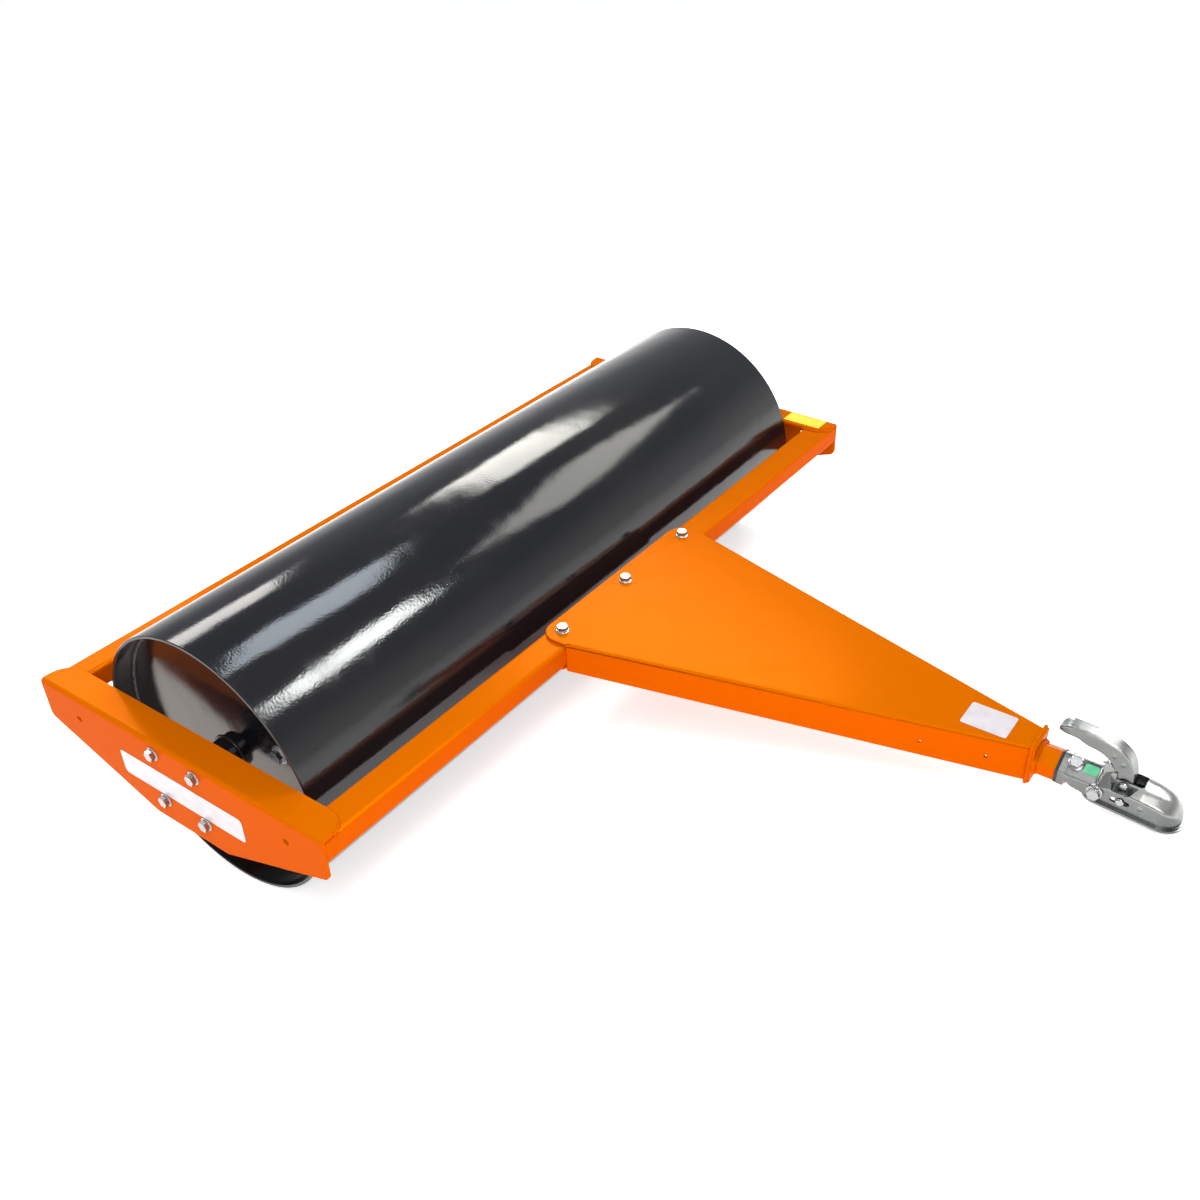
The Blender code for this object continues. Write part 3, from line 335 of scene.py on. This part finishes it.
def casting():
    look = Look("bearing_housing_paint", 0.45)
    look.colour(look.noise(25.0), (0.3, (0.012, 0.012, 0.013)), (0.7, (0.028, 0.027, 0.026)))
    look.rough(look.noise(60.0), (0.3, 0.38), (0.7, 0.55))
    look.relief(look.noise(700.0, 4.0), 0.0005)
    return look.material


def turned_steel():
    look = Look("bright_steel", 0.22, 1.0)
    look.colour(look.noise(90.0), (0.3, (0.50, 0.50, 0.50)), (0.7, (0.62, 0.61, 0.60)))
    look.rough(look.noise(300.0), (0.3, 0.18), (0.7, 0.30))
    return look.material


def zinc():
    look = Look("zinc_plate", 0.24, 1.0)
    # Painted light and shade: lighter on faces that look up, darker on the sides and undersides.
    look.colour(look.painted_light_by_facing(140.0), (0.0, (0.30, 0.30, 0.30)), (0.6, (0.46, 0.46, 0.46)),
                (1.0, (0.72, 0.72, 0.74)))
    look.rough(look.noise(380.0), (0.3, 0.16), (0.7, 0.28))
    look.relief(look.noise(900.0), 0.00008)
    return look.material


def galvanised():
    look = Look("galvanised_steel", 0.24, 1.0)
    # Painted light and shade: the sides and undersides darker, the faces that look up lighter.
    look.colour(look.painted_light_by_facing(18.0, 0.15), (0.0, (0.130, 0.135, 0.130)), (0.35, (0.27, 0.275, 0.265)),
                (0.75, (0.42, 0.42, 0.39)), (1.0, (0.36, 0.37, 0.37)))
    look.rough(look.noise(60.0, 2.0), (0.3, 0.24), (0.7, 0.32))
    look.relief(look.noise(45.0, 1.0), 0.0001, 0.4)
    return look.material


def rubber():
    look = Look("black_rubber", 0.55)
    look.colour(look.noise(200.0), (0.3, (0.010, 0.010, 0.010)), (0.7, (0.022, 0.022, 0.022)))
    look.relief(look.noise(900.0), 0.0001)
    return look.material


def film(name, dark, pale):
    """Plain printed film."""
    look = Look(name, 0.28, Coat_Weight=0.3, Coat_Roughness=0.1)
    look.colour(look.noise(40.0, 5.0), (0.35, dark), (0.65, pale))
    look.relief(look.noise(60.0, 1.0), 0.0002, 0.5)
    return look.material


ORANGE = powder_coat()
BLACK = gloss_black("gloss_black_paint", (1, 1, 1, 1))
# Painted reflection: a tan tint on the end plates' gloss stands in for the orange frame reflected in
# them.
BLACK_ENDS_PAINTED_REFLECTION = gloss_black("gloss_black_painted_reflection_on_ends", (1.0, 0.72, 0.46, 1))
WELD_BLACK = rough_black()
LOOKS = {
    "orange_powder_coat": ORANGE,
    "gloss_black_paint": BLACK,
    "bearing_housing_paint": casting(),
    "bright_steel": turned_steel(),
    "zinc_plate": zinc(),
    "galvanised_steel": galvanised(),
    "black_rubber": rubber(),
    "white_label": film("white_film", (0.48, 0.445, 0.46), (0.55, 0.515, 0.53)),
    "yellow_label": film("yellow_film", (0.70, 0.56, 0.004), (0.78, 0.64, 0.01)),
    "green_label": film("green_film", (0.05, 0.36, 0.17), (0.10, 0.48, 0.25)),
}


# ---------------------------------------------------------------- carried-over CAD nodes

def dress_nodes():
    """Gives each CAD node its material, rounds its sharp edges and keeps its flat faces flat."""
    for row in frame["record"]["subparts"]:
        node = NODES[row["node"]]
        look = BLACK_ENDS_PAINTED_REFLECTION if row["node"].startswith("end_plate") else LOOKS[row["material_slot"]]
        node.data.materials.clear()
        node.data.materials.append(look)
        node.data.shade_smooth()
        joined = node.modifiers.new("joined", "WELD")
        joined.merge_threshold = SAME_PLACE
        if row["node"] in FREE_FORM:
            creases = node.modifiers.new("creases", "EDGE_SPLIT")
            creases.split_angle = CREASE
        else:
            flat = node.modifiers.new("faces", "DECIMATE")
            flat.decimate_type = "DISSOLVE"
            flat.angle_limit = FLAT
            round_edges(node, EDGES.get(row["node"], EDGE), SHARP)
        shading = node.modifiers.new("shading", "WEIGHTED_NORMAL")
        shading.weight = 100


# ---------------------------------------------------------------- new pieces

def add(name, work, look, body, sharp=40):
    """Makes an object of a bmesh and gives it its material and body."""
    mesh = bpy.data.meshes.new(name)
    bmesh.ops.recalc_face_normals(work, faces=work.faces)
    work.to_mesh(mesh)
    work.free()
    mesh.shade_smooth()
    mesh.set_sharp_from_angle(angle=math.radians(sharp))
    mesh.materials.append(look)
    made = bpy.data.objects.new(name, mesh)
    bpy.context.scene.collection.objects.link(made)
    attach(made, body)
    return made


def drawbar_sheet():
    """The drawbar's top and walls, joined into one folded sheet."""
    back = LEVEL.inverted()
    into_top = LEVEL.to_3x3() @ Vector((0, 0, SHEET_LAP))
    names = ("drawbar_top", "drawbar_wall_left", "drawbar_wall_right")
    pieces = []
    for name in names:
        mesh = NODES[name].data.copy()
        work = bmesh.new()
        work.from_mesh(mesh)
        bmesh.ops.remove_doubles(work, verts=work.verts, dist=SAME_PLACE)
        if "wall" in name:
            # The wall's upper corners move up into the top, so the two can be joined
            high = level_box(name)[1].z
            for vertex in work.verts:
                if (back @ vertex.co).z > high - WALL_TOP:
                    vertex.co += into_top
        work.to_mesh(mesh)
        work.free()
        pieces.append(bpy.data.objects.new(name + "_copy", mesh))
        bpy.context.scene.collection.objects.link(pieces[-1])
    sheet = pieces[0]
    for wall in pieces[1:]:
        join = sheet.modifiers.new(wall.name, "BOOLEAN")
        join.operation = "UNION"
        join.object = wall
    joined = sheet.evaluated_get(bpy.context.evaluated_depsgraph_get())
    whole = bpy.data.meshes.new_from_object(joined)
    for piece in pieces:
        bpy.data.objects.remove(piece)
    work = bmesh.new()
    work.from_mesh(whole)
    bmesh.ops.remove_doubles(work, verts=work.verts, dist=SAME_PLACE)
    bmesh.ops.dissolve_limit(work, angle_limit=FLAT, verts=work.verts, edges=work.edges)
    made = add("drawbar_sheet", work, ORANGE, "frame", 30)
    edges = round_edges(made, SHEET_EDGE, 40)
    edges.use_clamp_overlap = False
    edges.harden_normals = True
    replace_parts(made, *names)


def lip_arc(radius, x, towards_out, towards_side, count=5):
    """Points that round one corner of the shell's section, as (radius, x)."""
    points = []
    for i in range(count + 1):
        a = math.pi / 2 * i / count
        points.append((radius - towards_out * SHELL_LIP * (1 - math.cos(a)),
                       x - towards_side * SHELL_LIP * (1 - math.sin(a))))
    return points


def drum_surface():
    """The smooth shell, with rounded lips at both ends."""
    outer, half = AXLE.z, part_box("drum_shell")[1][0]
    inner = outer - SHELL
    profile = [(outer, 0.0)]
    profile += lip_arc(outer, half, 1, 1)
    profile += lip_arc(inner, half, -1, 1)[::-1]
    profile.append((inner, 0.0))
    profile += lip_arc(inner, -half, -1, -1)
    profile += lip_arc(outer, -half, 1, -1)[::-1]
    work = bmesh.new()
    rings = []
    for i in range(DRUM_SIDES):
        a = 2 * math.pi * i / DRUM_SIDES
        rings.append([work.verts.new((x, AXLE.y + radius * math.sin(a),
                                      AXLE.z + radius * math.cos(a))) for radius, x in profile])
    for one, two in zip(rings, rings[1:] + rings[:1]):
        for i in range(len(profile)):
            j = (i + 1) % len(profile)
            work.faces.new((one[i], one[j], two[j], two[i]))
    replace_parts(add("drum_surface", work, BLACK, "drum", 60), "drum_shell")


def weld(name, path, normals, radius, look, body, closed=False, ripple=DRUM_RIPPLE, uneven=0.25):
    """A weld bead along a densely and evenly spaced path: a half-sunk rope with a ripple."""
    work = bmesh.new()
    rings = []
    count = len(path)
    travelled = 0.0
    for i, point in enumerate(path):
        before = path[i - 1] if closed or i else path[0]
        after = path[(i + 1) % count] if closed or i + 1 < count else path[-1]
        along = (after - before).normalized()
        if i:
            travelled += (point - path[i - 1]).length
        out = normals[i].normalized()
        across = along.cross(out).normalized()
        swell = 1 + RIPPLE_SHARE * abs(math.sin(math.pi * travelled / ripple))
        swell += uneven * noise.noise(point * LUMPS)
        if not closed and (i == 0 or i == count - 1):
            swell *= 0.5
        ring = []
        for k in range(BEAD_SIDES):
            turn = 2 * math.pi * k / BEAD_SIDES
            ring.append(work.verts.new(point + (out * math.sin(turn) + across * math.cos(turn))
                                       * radius * swell))
        rings.append(ring)
    pairs = list(zip(rings, rings[1:]))
    if closed:
        pairs.append((rings[-1], rings[0]))
    else:
        work.faces.new(rings[0])
        work.faces.new(rings[-1])
    for one, two in pairs:
        for k in range(BEAD_SIDES):
            j = (k + 1) % BEAD_SIDES
            work.faces.new((one[k], one[j], two[j], two[k]))
    add(name, work, look, body, 75)


def walk(corners, step, closed=False):
    """Evenly spaced points along straight runs between corners."""
    points = []
    ends = corners[1:] + corners[:1] if closed else corners[1:]
    for one, two in zip(corners, ends):
        count = max(1, round((two - one).length / step))
        points += [one.lerp(two, i / count) for i in range(count)]
    if not closed:
        points.append(corners[-1])
    return points


def drum_welds():
    """The beads that join the end plates to the shell and to the axle."""
    beads = (("rim", AXLE.z - SHELL - RIM_OFFSET, 1, RIM_BEAD), ("boss", BOSS, -1, BOSS_BEAD))
    for side, name in ((-1, "left"), (1, "right")):
        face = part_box("end_plate_" + name)[0 if side < 0 else 1][0]
        for label, ring, inward, radius in beads:
            count = int(2 * math.pi * ring / DRUM_STEP)
            path, normals = [], []
            for i in range(count):
                a = 2 * math.pi * i / count
                out = Vector((0, math.sin(a), math.cos(a)))
                path.append(Vector((face, AXLE.y, AXLE.z)) + out * ring)
                normals.append(Vector((side, 0, 0)) - out * inward)
            weld(f"{label}_weld_{name}", path, normals, radius, WELD_BLACK, "drum",
                 True)


def level_weld(name, corners, normal, radius, closed=False, uneven=0.25):
    """An orange bead along corners that are given in the level frame."""
    path = [LEVEL @ point for point in walk(corners, FRAME_STEP, closed)]
    normals = [LEVEL.to_3x3() @ normal(LEVEL.inverted() @ point) for point in path]
    weld(name, path, normals, radius, ORANGE, "frame", closed,
         FRAME_RIPPLE, uneven)


def beam_welds():
    """The beads round the side frames' corners, on top of the front and rear beams."""
    level = level_box("front_beam")[1].z + BEAM_OFFSET
    for side, name in ((-1, "left"), (1, "right")):
        low, high = level_box("side_frame_" + name)
        inner = high.x if side < 0 else low.x
        for label, way, end, beam_edge in (("front", 1, low.y, level_box("front_beam")[1].y),
                                           ("rear", -1, high.y, level_box("rear_beam")[0].y)):
            path = []
            # Round the corner from near the frame's end to its inner side
            for i in range(CORNER_STEPS + 1):
                a = math.radians(CORNER_START + (90 - CORNER_START) * i / CORNER_STEPS)
                path.append(Vector((inner + side * FRAME_CORNER * (1 - math.sin(a)),
                                    end + way * FRAME_CORNER * (1 - math.cos(a)), level)))
            path.append(Vector((inner, beam_edge, level)))
            level_weld(f"{label}_beam_weld_{name}", path, lambda point: Vector((0, 0, 1)),
                       BEAM_BEAD, False, 0.15)


def hitch_welds():
    """The beads between the drawbar, its end plate and the hitch tube."""
    low, high = level_box("drawbar_end_plate")
    middle = (low + high) / 2
    across, upright = PLATE_INSET
    ring = [Vector((x * across, high.y + PLATE_OFFSET, middle.z + (z - middle.z) * upright))
            for x, z in ((low.x, low.z), (low.x, high.z), (high.x, high.z), (high.x, low.z))]
    level_weld("end_plate_weld", ring, lambda point: Vector((point.x, PLATE_LEAN, point.z - middle.z)),
               PLATE_BEAD, True, 0.6)
    centre = (level_box("tube_collar")[0].z + level_box("tube_collar")[1].z) / 2
    six = [Vector((x, low.y - TUBE_OFFSET, centre + z))
           for x, z in ((0, TUBE_HIGH), (-TUBE_HALF, TUBE_SHOULDER), (-TUBE_HALF, -TUBE_SHOULDER),
                        (0, -TUBE_HIGH), (TUBE_HALF, -TUBE_SHOULDER), (TUBE_HALF, TUBE_SHOULDER))]
    level_weld("tube_weld", six, lambda point: Vector((point.x, -TUBE_LEAN, point.z - centre)),
               TUBE_BEAD, True, 0.4)


camera()
studio()
dress_nodes()
drawbar_sheet()
drum_surface()
drum_welds()
beam_welds()
hitch_welds()
